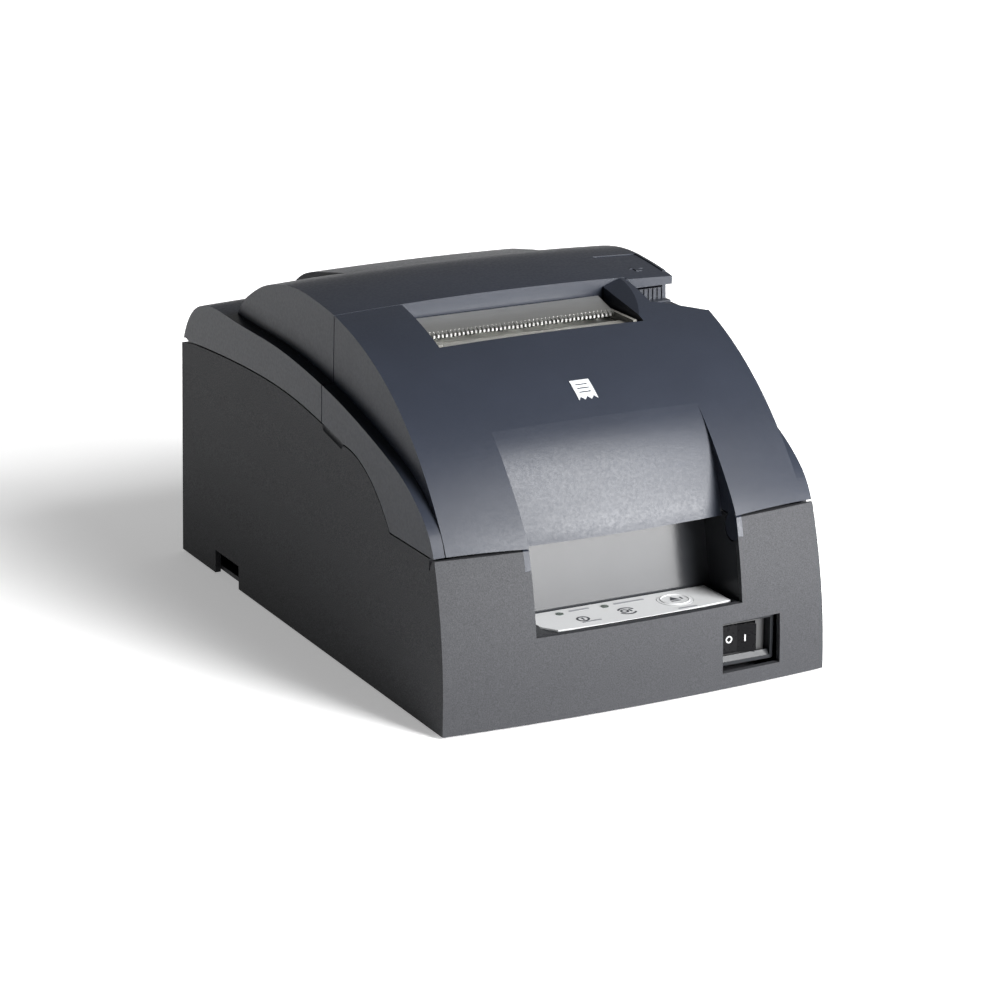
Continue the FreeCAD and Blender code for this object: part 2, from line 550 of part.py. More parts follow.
def switch_bezel():
    low_x, high_x = SWITCH_X[0] + BEZEL_GAP, SWITCH_X[1] - BEZEL_GAP
    low_z, high_z = SWITCH_Z[0] + BEZEL_GAP, SWITCH_Z[1] - BEZEL_GAP
    ring = box((low_x, high_x), (-118.2, -106.0), (low_z, high_z))
    ring = ring.cut(box((low_x + 1.2, high_x - 1.2), (-130, -90), (low_z + 1.2, high_z - 1.2)))
    flange_z = (SWITCH_Z[0] - 2.0, SWITCH_Z[1] + 2.5)
    flange = box((SWITCH_X[0] - 2.0, SWITCH_X[1] + 2.5), (-107.6, -106.0), flange_z)
    flange = flange.cut(box((low_x + 1, high_x - 1), (-130, -90), (low_z + 1, high_z - 1)))
    sill = [(-118.2, low_z + 0.2), (-118.2, low_z + 0.7), (-116.6, low_z + 3.1), (-116.6, low_z + 0.2)]
    slope = prism(sill, low_x + 0.5, high_x - 0.5)
    return fuse([ring, flange, slope])


def switch_body():
    low_x, high_x = SWITCH_X[0] + 2.7, SWITCH_X[1] - 2.7
    low_z, high_z = SWITCH_Z[0] + 2.7, SWITCH_Z[1] - 2.7
    body = box((low_x, high_x), (-114.6, -94.0), (low_z, high_z))
    reach = ROCKER_HALF + 0.7
    well_x = (ROCKER_AXIS[0] - reach, ROCKER_AXIS[0] + reach)
    well = box(well_x, (-116, -105.0), (low_z + 1.2, high_z - 1.2))
    terminals = [box((x, x + 0.8), (-94, -88), (13, 19)) for x in (42, 50)]
    pin = rod(0.9, low_z + 0.6, high_z - 0.6, "z", ROCKER_AXIS)
    return fuse([body.cut(well), pin] + terminals)


def power_rocker():
    low_z, high_z = SWITCH_Z[0] + 4.2, SWITCH_Z[1] - 4.2
    cx, cy = ROCKER_AXIS
    outline = [(cx - ROCKER_HALF, cy - 3.4), (cx, cy - 2.4), (cx + ROCKER_HALF, cy - 3.9),
               (cx + 5.6, cy + 1.6), (cx, cy + 3.6), (cx - 5.6, cy + 1.6)]
    body = plate(outline, low_z, high_z).cut(rod(0.9 + RUNNING_GAP, low_z - 1, high_z + 1, "z", ROCKER_AXIS))
    body.rotate(V(cx, cy, 0), Z_AXIS, -ROCKER_TILT)
    return body


# ---- electronics and rear panel -----------------------------------------------------------
def main_board():
    board = box((-44, 44), (-88, 96), (12, 13.6))
    parts = [box((-20, 8), (-40, -12), (13.6, 16)), box((14, 34), (-46, -30), (13.6, 15.6)),
             box((-36, -16), (58, 80), (13.6, 22)), box((-40, -28), (-80, -50), (13.6, 20))]
    parts += [rod(5.0, 13.6, 28, "z", (x, 66)) for x in (4, 18)]
    legs = [rod(2.5, 3.4, 12, "z", (x, y)) for x in (-40, 40) for y in (-84, 92)]
    posts = [rod(5.0, 11, 15, "z", (x, ROLL_AXIS[0])) for x in (-30, 30)]
    return fuse([board] + parts + legs).cut(fuse(posts))


PLATE_Y = (REAR_Y - WALL - 2.5, REAR_Y - WALL - 1.3)


def interface_plate():
    lap = 4.0
    panel = box((REAR_OPENING_X[0] - lap, REAR_OPENING_X[1] + lap), PLATE_Y,
                (REAR_OPENING_Z[0] - lap, REAR_OPENING_Z[1] + lap))
    cuts = [box((-38, 2), (100, 130), (24, 36)), box((10, 24), (100, 130), (22, 36)),
            rod(7.0, 100, 130, "y", (36, 29))]
    cuts += [rod(1.6, 100, 130, "y", (x, 42.5)) for x in (-42, 42)]
    return panel.cut(fuse(cuts))


def data_connector():
    shell = box((-37.8, 1.8), (112, REAR_Y - 0.6), (24.2, 35.8)).cut(box((-35, -1), (116, 130), (26.4, 33.6)))
    tongue = box((-32, -4), (115, REAR_Y - 6.0), (29, 31))
    return shell.fuse(tongue)


def drawer_socket():
    body = box((10.2, 23.8), (108, REAR_Y - 1.0), (22.2, 35.8))
    mouth = fuse([box((12.2, 21.8), (111, 130), (26.0, 34.0)), box((14.6, 19.4), (111, 130), (24.0, 26.2))])
    return body.cut(mouth)


def power_socket():
    barrel = rod(6.8, 110, REAR_Y - 1.0, "y", (36, 29)).cut(rod(5.0, 114, 130, "y", (36, 29)))
    pin_xz = ((33.6, 27.8), (38.4, 27.8), (36.0, 31.2))
    pins = [rod(0.6, 112, REAR_Y - 5.5, "y", xz) for xz in pin_xz]
    return fuse([barrel, box((29.2, 42.8), (106, 114), (20, 35.8))] + pins)


def interface_screws():
    heads = []
    for x in (-42, 42):
        head = rod(3.2, PLATE_Y[1], PLATE_Y[1] + 2.0, "y", (x, 42.5))
        slot = box((x - 3.2, x + 3.2), (PLATE_Y[1] + 1.2, PLATE_Y[1] + 3), (42.1, 42.9))
        heads.append(head.fuse(rod(1.5, PLATE_Y[0] - 5, PLATE_Y[1], "y", (x, 42.5))).cut(slot))
    return Part.makeCompound(heads)


def roll_bucket():
    outer = rod(ROLL_R + 1.6, -45, 45, "x", ROLL_AXIS)
    hollow = rod(ROLL_R, -43.2, 43.2, "x", ROLL_AXIS)
    upper = box((-60, 60), (-60, 140), (ROLL_AXIS[1], 160))
    lips = box((-45, 45), (-8, ROLL_AXIS[0] - ROLL_R), (ROLL_AXIS[1] - 1.6, ROLL_AXIS[1]))
    trough = outer.cut(hollow).cut(upper)
    return trough.fuse(lips)


# ---- print mechanism ----------------------------------------------------------------------
def mechanism_frame():
    side = [(-88, FRAME_Z), (-18, FRAME_Z), (-17, 84), (-15.4, 104), (-15.4, 116.4), (-44, 116.4),
            (-64, 104), (-88, 76)]
    sides = [prism(side, low, low + FRAME_T) for low in (-FRAME_HALF - FRAME_T, FRAME_HALF)]
    floor = box((-FRAME_HALF - FRAME_T, FRAME_HALF + FRAME_T), (-88, -18), (FRAME_Z, FRAME_Z + FRAME_T))
    solid = fuse(sides + [floor])
    holes = [rod(1.25, 50, 70, "z", xy) for xy in FRAME_POSTS]
    holes += [rod(SHAFT_R, -70, 70, "x", SHAFT_AXIS), rod(3.0 + RUNNING_GAP, -70, 70, "x", FEED_AXIS)]
    holes += [rod(2.2, -70, -50, "x", MOTOR_AXIS), rod(1.5, -70, -50, "x", IDLER_AXIS)]
    holes += [rod(3.0, 50, 70, "z", (PULLEY_X, PULLEY_Y)), rod(1.5, 50, 70, "z", (-PULLEY_X, PULLEY_Y))]
    holes.append(box((20, 34), (-86, -76), (50, 70)))
    return solid.cut(fuse(holes))


def carriage_shaft():
    return rod(SHAFT_R, -FRAME_HALF - 2.6, FRAME_HALF + 2.6, "x", SHAFT_AXIS)


def carriage_rail():
    rail = box((-FRAME_HALF, FRAME_HALF), (-78.0, -76.0), (FRAME_Z + FRAME_T, 82.0))
    lip = box((-FRAME_HALF, FRAME_HALF), (-78.0, -70.0), (82.0, 83.6))
    return rail.fuse(lip)


HEAD_HALF = 12.0


def head_carriage():
    block = box((-HEAD_HALF, HEAD_HALF), (-68.0, -38.0), (78.4, 88.0))
    hub = rod(7.0, -HEAD_HALF, HEAD_HALF, "x", SHAFT_AXIS)
    clip = box((-6, 6), (-61.0, -56.2), (70.0, 79.0))
    block = fuse([block, hub, clip])
    block = block.cut(rod(SHAFT_R + RUNNING_GAP, -20, 20, "x", SHAFT_AXIS))
    spare = 0.15
    run_y = PULLEY_Y + PULLEY_R
    belt_gap = box((-20, 20), (run_y - spare, run_y + BELT_T + spare), (BELT_Z[0] - spare, BELT_Z[1] + spare))
    rail_gap = box((-20, 20), (-80, -69.0), (81.6, 84.0))
    return block.cut(belt_gap).cut(rail_gap)


def print_head():
    body = box((-9, 9), (-42.0, -28.0), (88.0, 95.0))
    neck = box((-9, 9), (-38.0, -28.0), (80.6, 88.0))
    nose = box((-4, 4), (-28.0, -19.4), (84.5, 94.0))
    fins = [box((-9 + 2.6 * i, -7.9 + 2.6 * i), (-48.0, -42.0), (88.0, 95.0)) for i in range(7)]
    return fuse([body, neck, nose] + fins)


def pulley(x):
    wheel = rod(PULLEY_R, BELT_Z[0], BELT_Z[1], "z", (x, PULLEY_Y))
    flanges = [rod(PULLEY_R + 1.6, z, z + 0.8, "z", (x, PULLEY_Y)) for z in (BELT_Z[0] - 0.8, BELT_Z[1])]
    bore = 1.5
    return fuse([wheel] + flanges).cut(rod(bore, 60, 90, "z", (x, PULLEY_Y)))


def drive_pulley():
    shaft = rod(1.5, 61.0, 79.0, "z", (PULLEY_X, PULLEY_Y))
    return pulley(PULLEY_X).fuse(shaft)


def idler_pulley():
    return pulley(-PULLEY_X).cut(rod(1.5 + RUNNING_GAP, 60, 90, "z", (-PULLEY_X, PULLEY_Y)))


def idler_post():
    cap = rod(2.4, BELT_Z[1] + 0.9, BELT_Z[1] + 1.3, "z", (-PULLEY_X, PULLEY_Y))
    return rod(1.5, FRAME_Z, BELT_Z[1] + 1.0, "z", (-PULLEY_X, PULLEY_Y)).fuse(cap)


def belt_loop(radius):
    sheet = box((-PULLEY_X, PULLEY_X), (PULLEY_Y - radius, PULLEY_Y + radius), BELT_Z)
    ends = [rod(radius, *BELT_Z, "z", (x, PULLEY_Y)) for x in (-PULLEY_X, PULLEY_X)]
    return fuse([sheet] + ends)


def timing_belt():
    lift = 0.3
    low, high = BELT_Z[0] + lift, BELT_Z[1] - lift
    trim = box((-90, 90), (-100, -20), (low, high))
    return belt_loop(PULLEY_R + BELT_T).cut(belt_loop(PULLEY_R + 0.04)).common(trim)


def carriage_motor():
    can = rod(14.0, 40.0, FRAME_Z, "z", (PULLEY_X, PULLEY_Y))
    nose = rod(2.9, FRAME_Z, FRAME_Z + 0.8, "z", (PULLEY_X, PULLEY_Y))
    wall_flat = box((51, 60), (-90, -76.5), (38, 62))
    shaft_bore = rod(2.0, 57, 62, "z", (PULLEY_X, PULLEY_Y))
    return can.fuse(nose).cut(wall_flat).cut(shaft_bore)


PINION_R = MODULE * MOTOR_TEETH / 2
IDLER_R = MODULE * IDLER_TEETH / 2
FEED_GEAR_R = MODULE * FEED_TEETH / 2


def idler_centre():
    """Centre of the idler gear, from the two centre distances of its meshes."""
    a, b = PINION_R + IDLER_R, IDLER_R + FEED_GEAR_R
    dy, dz = FEED_AXIS[0] - MOTOR_AXIS[0], FEED_AXIS[1] - MOTOR_AXIS[1]
    span = math.hypot(dy, dz)
    along = (a * a - b * b + span * span) / (2 * span)
    across = math.sqrt(max(a * a - along * along, 0.0))
    y = MOTOR_AXIS[0] + (along * dy - across * dz) / span
    z = MOTOR_AXIS[1] + (along * dz + across * dy) / span
    return (y, z)


IDLER_AXIS = idler_centre()


def mesh_turn(centre, teeth, other, other_teeth, other_turn):
    """Rotation that puts a gap of this gear on the tooth of the other gear."""
    line = math.atan2(other[1] - centre[1], other[0] - centre[0])
    back = line + math.pi
    phase = (back - other_turn) / (2 * math.pi / other_teeth)
    return line + (phase + 0.5) * (2 * math.pi / teeth)


IDLER_TURN = 0.0
MOTOR_TURN = mesh_turn(MOTOR_AXIS, MOTOR_TEETH, IDLER_AXIS, IDLER_TEETH, IDLER_TURN)
FEED_TURN = mesh_turn(FEED_AXIS, FEED_TEETH, IDLER_AXIS, IDLER_TEETH, IDLER_TURN)


def motor_pinion():
    wheel = gear(MOTOR_TEETH, *GEAR_X, MOTOR_AXIS, 1.0, MOTOR_TURN)
    return wheel.fuse(rod(1.0, -64.6, -58.5, "x", MOTOR_AXIS))


def idler_gear():
    return gear(IDLER_TEETH, *GEAR_X, IDLER_AXIS, 1.5 + RUNNING_GAP, IDLER_TURN)


def idler_shaft():
    return rod(1.5, -65.6, -57.0, "x", IDLER_AXIS).fuse(rod(3.0, -66.6, -65.6, "x", IDLER_AXIS))


def feed_gear():
    return gear(FEED_TEETH, *GEAR_X, FEED_AXIS, 3.0, FEED_TURN)


def feed_roller():
    shaft = rod(3.0, -65.0, FRAME_HALF + 3.0, "x", FEED_AXIS)
    sleeves = [rod(FEED_R, low, low + 22.0, "x", FEED_AXIS) for low in (-36.0, -11.0, 14.0)]
    return fuse([shaft] + sleeves)


def feed_motor():
    can = rod(8.6, -57.6, -26.0, "x", MOTOR_AXIS)
    return can.fuse(rod(2.0, -59.4, -57.6, "x", MOTOR_AXIS)).cut(rod(1.2, -62, -56, "x", MOTOR_AXIS))


def ribbon_cassette():
    body = box((-54, 54), (-66, -50), (96.6, 104.0)).fuse(box((-54, 54), (-50, -30), (97.4, 104.0)))
    arms = [box(sorted((s * 47, s * 55)), (-36, -15.6), (84.5, 104.0)) for s in (-1, 1)]
    exits = [box(sorted((s * 46, s * 51)), (-18.6, -17.4), (85, 97.0)) for s in (-1, 1)]
    ribs = [box((x, x + 1.5), (-62, -34), (104.0, 104.7)) for x in (-20, -8, 4)]
    knob_hole = rod(4.4, 96, 106, "z", KNOB_XY)
    return fuse([body] + arms + ribs).cut(fuse(exits + [knob_hole]))


KNOB_XY = (-36.0, -56.0)


def ribbon():
    return box((-50.4, 50.4), (-18.15, -17.9), (85.6, 96.4))


def ribbon_knob():
    stem = rod(4.3, 97.0, 104.9, "z", KNOB_XY)
    cap = rod(6.5, 104.9, 108.6, "z", KNOB_XY)
    grips = [rod(0.9, 104, 110, "z", polar(KNOB_XY, 6.6, 2 * math.pi * i / 12)) for i in range(12)]
    return stem.fuse(cap).cut(fuse(grips))


def platen():
    bar = box((-41, 41), (-14.0, -8.0), (83.0, 98.0))
    head = box((-45, 45), (-14.2, -11.0), (98.0, 106.0))
    return bar.fuse(head).cut(rod(PINCH_R + 1.2, -50, 50, "x", PINCH_AXIS))


def pinch_roller():
    shaft = rod(1.5 - RUNNING_GAP, -43.4, 43.4, "x", PINCH_AXIS)
    sleeves = [rod(PINCH_R, low, low + 22.0, "x", PINCH_AXIS) for low in (-36.0, -11.0, 14.0)]
    return fuse([shaft] + sleeves)


# ---- cutter -------------------------------------------------------------------------------
def cutter_frame():
    floor = box((-43.3, 40.8), (-44.0, -17.0), (118.0, 119.0))
    cheeks = [box(span, (-44.0, -17.0), (118.0, 123.4)) for span in ((-43.3, -41.8), (39.3, 40.8))]
    sill = box((-43.3, 40.8), (-44.0, -35.0), (119.0, 121.4))
    reach = FRAME_HALF + FRAME_T
    straps = [box(span, (-42, -30), (116.5, 118.0)) for span in ((-reach, -40), (38, reach))]
    window = box((26, 34), (-42, -21.2), (115, 119.5))
    sill_gap = box((26, 34), (-42, -34), (119, 120.6))
    tail = box((-41.6, 39.1), (-36.5, -34), (119.0, 120.6))
    return fuse([floor] + cheeks + [sill] + straps).cut(fuse([window, sill_gap, tail]))


TEAR_TEETH = 46
TEAR_PITCH = 1.75


def cutter_top_plate():
    profile = [(-16.4, 126.9), (-27.0, 124.0), (-29.4, 123.0), (-29.4, 121.9), (-27.6, 122.4), (-26.6, 123.0),
               (-17.4, 125.5), (-17.4, 119.2), (-16.4, 119.2)]
    blank = prism(profile, -41.6, 39.1)
    notches = []
    for i in range(TEAR_TEETH):
        x = -40.4 + TEAR_PITCH * i
        notch = [(x - 0.6, -30.2), (x + 0.6, -30.2), (x + 0.2, -27.2), (x - 0.2, -27.2)]
        notches.append(plate(notch, 121.5, 124.5))
    return blank.cut(fuse(notches))


RACK_X = (27.0, 33.0)
RACK_PITCH_Z = CUTTER_AXIS[1] + MODULE * CUTTER_TEETH / 2


def cutter_blade():
    blade = box((-41.4, 38.9), (-34.0, -24.5), (119.3, 120.2))
    rack_top, tip = 119.3, RACK_PITCH_Z - 0.8 * MODULE
    pitch = math.pi * MODULE
    teeth = []
    for i in range(-3, 2):
        mid = CUTTER_AXIS[0] + (i + 0.5) * pitch
        root, crest = 0.30 * pitch, 0.11 * pitch
        tooth = [(mid - root, rack_top), (mid - crest, tip), (mid + crest, tip), (mid + root, rack_top)]
        teeth.append(prism(tooth, *RACK_X))
    tongue = box(RACK_X, (-41.5, -26.5), (119.3, 120.2))
    return fuse([blade, tongue] + teeth)


def cutter_pinion():
    wheel = gear(CUTTER_TEETH, 27.5, 32.5, CUTTER_AXIS, 1.0, math.pi / 2)
    return wheel.fuse(rod(1.0, 25.0, 35.0, "x", CUTTER_AXIS))


def cutter_motor():
    can = rod(4.2, 35.4, 57.9, "x", CUTTER_AXIS)
    bracket = box((38.5, 40.5), (-38, -30), (112, 116.5)).cut(can)
    return can.cut(rod(1.1, 34, 37, "x", CUTTER_AXIS)).fuse(bracket)


def cover_mark():
    """Small printed receipt with a zig-zag foot, lying on the front cover."""
    outline = [(-4.0, -73.0), (4.0, -73.0), (4.0, -81.0), (2.67, -79.8), (1.33, -81.0), (0, -79.8),
               (-1.33, -81.0), (-2.67, -79.8), (-4.0, -81.0)]
    lines = [box((-2.4, 2.4), (y - 0.35, y + 0.35), (90, 140)) for y in (-74.8, -76.4, -78.0)]
    column = plate(outline, 90, 140).cut(fuse(lines))
    envelope = cover_envelope()
    return column.common(envelope.translated(V(0, -0.12, 0.16))).cut(envelope)


def hinge_pins(hinge, spans):
    return Part.makeCompound([rod(HINGE_PIN_R, low, high, "x", hinge) for low, high in spans])


def front_hinge_pins():
    return hinge_pins(FRONT_HINGE, ((-54, -44.0), (44.0, 54)))


def rear_hinge_pins():
    return hinge_pins(REAR_HINGE, ((-75.5, -60), (60, 75.5)))


def lever_pin():
    return rod(0.8, LEVER_X[0] - 1.6, LEVER_X[1] + 1.2, "x", LEVER_HINGE)


def build():
    shell = cover_shell()
    nodes = {"front_cover": front_cover(shell), "paper_cover": paper_cover(shell)}
    makers = [lower_case, control_tray, base_plate, rubber_feet, base_screws, frame_screws,
              control_overlay, status_lenses, feed_button, control_board, switch_bezel, switch_body,
              power_rocker, release_lever, lever_pin,
              main_board, interface_plate, data_connector, drawer_socket, power_socket, interface_screws,
              roll_bucket, mechanism_frame, carriage_shaft, carriage_rail, head_carriage, print_head,
              drive_pulley, idler_pulley, idler_post, timing_belt, carriage_motor, motor_pinion, idler_gear,
              idler_shaft, feed_gear, feed_roller, feed_motor, ribbon_cassette, ribbon, ribbon_knob, platen,
              pinch_roller, cutter_frame, cutter_top_plate, cutter_blade, cutter_pinion, cutter_motor,
              cover_mark, front_hinge_pins, rear_hinge_pins]
    for maker in makers:
        nodes[maker.__name__] = maker()
    return nodes


os.makedirs("parts", exist_ok=True)
for name, shape in build().items():
    print(name, len(shape.Solids), round(shape.Volume), shape.isValid())
    shape.exportStep("parts/" + name + ".step")
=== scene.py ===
"""Looks of the impact receipt printer: materials, softened edges, printed marks, light and camera."""
import json
import math

import bpy
import bmesh
from mathutils import Matrix, Vector


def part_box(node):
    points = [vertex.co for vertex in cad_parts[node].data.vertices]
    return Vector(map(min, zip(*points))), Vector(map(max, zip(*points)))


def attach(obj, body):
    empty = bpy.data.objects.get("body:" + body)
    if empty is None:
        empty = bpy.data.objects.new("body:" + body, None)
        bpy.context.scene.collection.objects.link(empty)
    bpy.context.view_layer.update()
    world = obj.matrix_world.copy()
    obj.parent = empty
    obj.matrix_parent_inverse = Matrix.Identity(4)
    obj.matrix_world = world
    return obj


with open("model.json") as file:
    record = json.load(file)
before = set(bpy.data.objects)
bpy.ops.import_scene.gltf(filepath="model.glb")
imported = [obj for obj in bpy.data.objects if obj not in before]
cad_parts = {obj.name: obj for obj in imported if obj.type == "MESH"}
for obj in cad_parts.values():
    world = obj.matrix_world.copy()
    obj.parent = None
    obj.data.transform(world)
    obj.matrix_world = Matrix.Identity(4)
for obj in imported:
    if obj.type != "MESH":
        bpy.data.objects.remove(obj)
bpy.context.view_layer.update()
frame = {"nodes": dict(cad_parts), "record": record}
NODES = frame["nodes"]
MM = 0.001


# ---- node helpers --------------------------------------------------------------------------
def start_material(name):
    material = bpy.data.materials.new(name)
    material.use_nodes = True
    tree = material.node_tree
    return material, tree, tree.nodes["Principled BSDF"]


def add(tree, kind):
    return tree.nodes.new(kind)


def object_coordinates(tree):
    return add(tree, "ShaderNodeTexCoord").outputs["Object"]


def noise(tree, scale, detail=2.0, roughness=0.5):
    node = add(tree, "ShaderNodeTexNoise")
    node.inputs["Scale"].default_value = scale
    node.inputs["Detail"].default_value = detail
    node.inputs["Roughness"].default_value = roughness
    tree.links.new(object_coordinates(tree), node.inputs["Vector"])
    return node.outputs["Fac"]


def remap(tree, source, low, high, from_low=0.0, from_high=1.0):
    node = add(tree, "ShaderNodeMapRange")
    node.inputs["From Min"].default_value = from_low
    node.inputs["From Max"].default_value = from_high
    node.inputs["To Min"].default_value = low
    node.inputs["To Max"].default_value = high
    tree.links.new(source, node.inputs["Value"])
    return node.outputs["Result"]


def mix_colors(tree, factor, first, second):
    node = add(tree, "ShaderNodeMix")
    node.data_type = "RGBA"
    first_socket, second_socket = (socket for socket in node.inputs if socket.type == "RGBA")
    first_socket.default_value = (*first, 1.0)
    second_socket.default_value = (*second, 1.0)
    tree.links.new(factor, node.inputs["Factor"])
    return next(out for out in node.outputs if out.type == "RGBA")


def bump(tree, shader, height, strength, distance):
    node = add(tree, "ShaderNodeBump")
    node.inputs["Strength"].default_value = strength
    node.inputs["Distance"].default_value = distance
    tree.links.new(height, node.inputs["Height"])
    tree.links.new(node.outputs["Normal"], shader.inputs["Normal"])


def shaded(color, factor):
    return tuple(min(channel * factor, 1.0) for channel in color)


# ---- materials -----------------------------------------------------------------------------
DRIFT_PER_M = 35.0        # how fast a moulded colour drifts, per metre
CASE_GRAIN_PER_M = 2300.0
CASE_SPECULAR = 0.12


def moulded(name, color, roughness, grain_per_m, grain_depth, mottle=0.06, rough_spread=0.05,
            specular=0.5, metallic=0.0):
    """Moulded or sheet material: slow colour drift, fine grain in the gloss, and a surface grain."""
    material, tree, shader = start_material(name)
    drift = noise(tree, DRIFT_PER_M, 3.0)
    color_out = mix_colors(tree, remap(tree, drift, 0.0, 1.0, 0.3, 0.7), shaded(color, 1 - mottle),
                           shaded(color, 1 + mottle))
    tree.links.new(color_out, shader.inputs["Base Color"])
    fine = noise(tree, grain_per_m, 2.0)
    rough_out = remap(tree, fine, roughness - rough_spread, roughness + rough_spread, 0.3, 0.7)
    tree.links.new(rough_out, shader.inputs["Roughness"])
    shader.inputs["Specular IOR Level"].default_value = specular
    shader.inputs["Metallic"].default_value = metallic
    bump(tree, shader, fine, 0.5, grain_depth)
    return material


def textured_case(name, color, roughness):
    """Spark-eroded plastic: pebbled grain, its colour lighter on the crests as a painted highlight and
    darker in the pits as painted shade.
    """
    material, tree, shader = start_material(name)
    pebble = noise(tree, CASE_GRAIN_PER_M, 2.0, 0.6)
    # painted highlight on the grain's crests and painted shade in its pits, taken from the same noise as
    # the bump
    grain_painted_light = remap(tree, pebble, 0.0, 1.0, 0.35, 0.68)
    color_out = mix_colors(tree, grain_painted_light, shaded(color, 0.8), shaded(color, 1.22))
    tree.links.new(color_out, shader.inputs["Base Color"])
    rough_out = remap(tree, pebble, roughness + 0.06, roughness - 0.08, 0.35, 0.65)
    tree.links.new(rough_out, shader.inputs["Roughness"])
    shader.inputs["Specular IOR Level"].default_value = CASE_SPECULAR
    bump(tree, shader, pebble, 0.6, 0.00006)
    return material


def brushed(name, color, roughness, stretch=(1.0, 40.0, 40.0)):
    """Metal with fine lines, which run along the axis that has the least stretch."""
    material, tree, shader = start_material(name)
    mapping = add(tree, "ShaderNodeMapping")
    mapping.inputs["Scale"].default_value = stretch
    tree.links.new(object_coordinates(tree), mapping.inputs["Vector"])
    lines = add(tree, "ShaderNodeTexNoise")
    lines.inputs["Scale"].default_value = 60.0
    lines.inputs["Detail"].default_value = 4.0
    tree.links.new(mapping.outputs["Vector"], lines.inputs["Vector"])
    color_out = mix_colors(tree, lines.outputs["Fac"], shaded(color, 0.86), shaded(color, 1.08))
    tree.links.new(color_out, shader.inputs["Base Color"])
    rough_out = remap(tree, lines.outputs["Fac"], roughness - 0.08, roughness + 0.1)
    tree.links.new(rough_out, shader.inputs["Roughness"])
    shader.inputs["Metallic"].default_value = 1.0
    bump(tree, shader, lines.outputs["Fac"], 0.25, 0.00003)
    return material


def woven(name, color):
    """Inked nylon ribbon: a fine weave with dull gloss."""
    material, tree, shader = start_material(name)
    wave = add(tree, "ShaderNodeTexWave")
    wave.inputs["Scale"].default_value = 900.0
    tree.links.new(object_coordinates(tree), wave.inputs["Vector"])
    color_out = mix_colors(tree, wave.outputs["Fac"], shaded(color, 0.6), shaded(color, 1.6))
    tree.links.new(color_out, shader.inputs["Base Color"])
    shader.inputs["Roughness"].default_value = 0.6
    bump(tree, shader, wave.outputs["Fac"], 0.4, 0.00005)
    return material


def circuit(name):
    """Green solder mask with faint copper tracks under it."""
    material, tree, shader = start_material(name)
    tracks = add(tree, "ShaderNodeTexBrick")
    tracks.inputs["Scale"].default_value = 90.0
    tracks.inputs["Mortar Size"].default_value = 0.03
    tracks.inputs["Color1"].default_value = (0.01, 0.10, 0.045, 1)
    tracks.inputs["Color2"].default_value = (0.012, 0.12, 0.05, 1)
    tracks.inputs["Mortar"].default_value = (0.03, 0.2, 0.08, 1)
    tree.links.new(object_coordinates(tree), tracks.inputs["Vector"])
    tree.links.new(tracks.outputs["Color"], shader.inputs["Base Color"])
    shader.inputs["Roughness"].default_value = 0.35
    bump(tree, shader, tracks.outputs["Fac"], 0.3, 0.00004)
    return material


# linear colours, dark because the softboxes are strong enough to turn the ground pure white
COVER = (0.0130, 0.0155, 0.0225)
CASE = (0.0238, 0.0245, 0.0272)
MATERIALS = {
    "cover_plastic": moulded("cover_plastic", COVER, 0.36, 900.0, 0.00002, specular=0.20),
    "case_plastic": textured_case("case_plastic", CASE, 0.55),
    "bay_plastic": moulded("bay_plastic", (0.016, 0.017, 0.019), 0.17, 500.0, 0.00001, rough_spread=0.02,
                           specular=0.12),
    "base_plastic": moulded("base_plastic", (0.03, 0.03, 0.034), 0.6, 1200.0, 0.00008),
    "mark_ink": moulded("mark_ink", (0.32, 0.33, 0.34), 0.5, 2500.0, 0.00001),
    "foot_rubber": moulded("foot_rubber", (0.02, 0.02, 0.02), 0.8, 1500.0, 0.00006),
    "screw_steel": brushed("screw_steel", (0.55, 0.55, 0.56), 0.35),
    "label_film": moulded("label_film", (0.40, 0.405, 0.41), 0.42, 2200.0, 0.00001, mottle=0.02),
    "lens": moulded("lens", (0.05, 0.065, 0.055), 0.2, 600.0, 0.00001),
    "circuit_board": circuit("circuit_board"),
    "black_plastic": moulded("black_plastic", (0.012, 0.012, 0.013), 0.45, 1200.0, 0.00004),
    "black_gloss": moulded("black_gloss", (0.003, 0.003, 0.0035), 0.3, 700.0, 0.00001, specular=0.07),
    "shaft_steel": brushed("shaft_steel", (0.75, 0.75, 0.77), 0.18),
    "plated_steel": brushed("plated_steel", (0.6, 0.6, 0.58), 0.32, (30.0, 2.0, 30.0)),
    "head_metal": moulded("head_metal", (0.5, 0.5, 0.52), 0.45, 900.0, 0.00006, metallic=1.0),
    "white_plastic": moulded("white_plastic", (0.72, 0.72, 0.69), 0.4, 900.0, 0.00003),
    "belt_rubber": moulded("belt_rubber", (0.015, 0.015, 0.015), 0.7, 1800.0, 0.00008),
    "motor_steel": brushed("motor_steel", (0.42, 0.42, 0.43), 0.3),
    "brass": brushed("brass", (0.75, 0.55, 0.22), 0.3),
    "roller_rubber": moulded("roller_rubber", (0.04, 0.04, 0.042), 0.75, 1600.0, 0.00006),
    "cassette_plastic": moulded("cassette_plastic", (0.035, 0.035, 0.04), 0.4, 1000.0, 0.00005),
    "ribbon_fabric": woven("ribbon_fabric", (0.03, 0.012, 0.045)),
    "tray_plastic": moulded("tray_plastic", (0.17, 0.166, 0.152), 0.5, 900.0, 0.00004),
    "cutter_steel": brushed("cutter_steel", (0.50, 0.50, 0.485), 0.34),
}

SLOT_OF = {entry["node"]: entry["material_slot"] for entry in frame["record"]["subparts"]}
# width of each node's softened edges, millimetres
BEVEL = {"lower_case": 0.9, "front_cover": 0.7, "paper_cover": 0.7, "release_lever": 0.6,
         "switch_bezel": 0.3, "power_rocker": 0.4, "ribbon_cassette": 0.5, "roll_bucket": 0.4,
         "feed_button": 0.2, "base_plate": 0.4}
SMALL_BEVEL = 0.12
SHARP_DEG = 32            # edges that turn more than this are softened


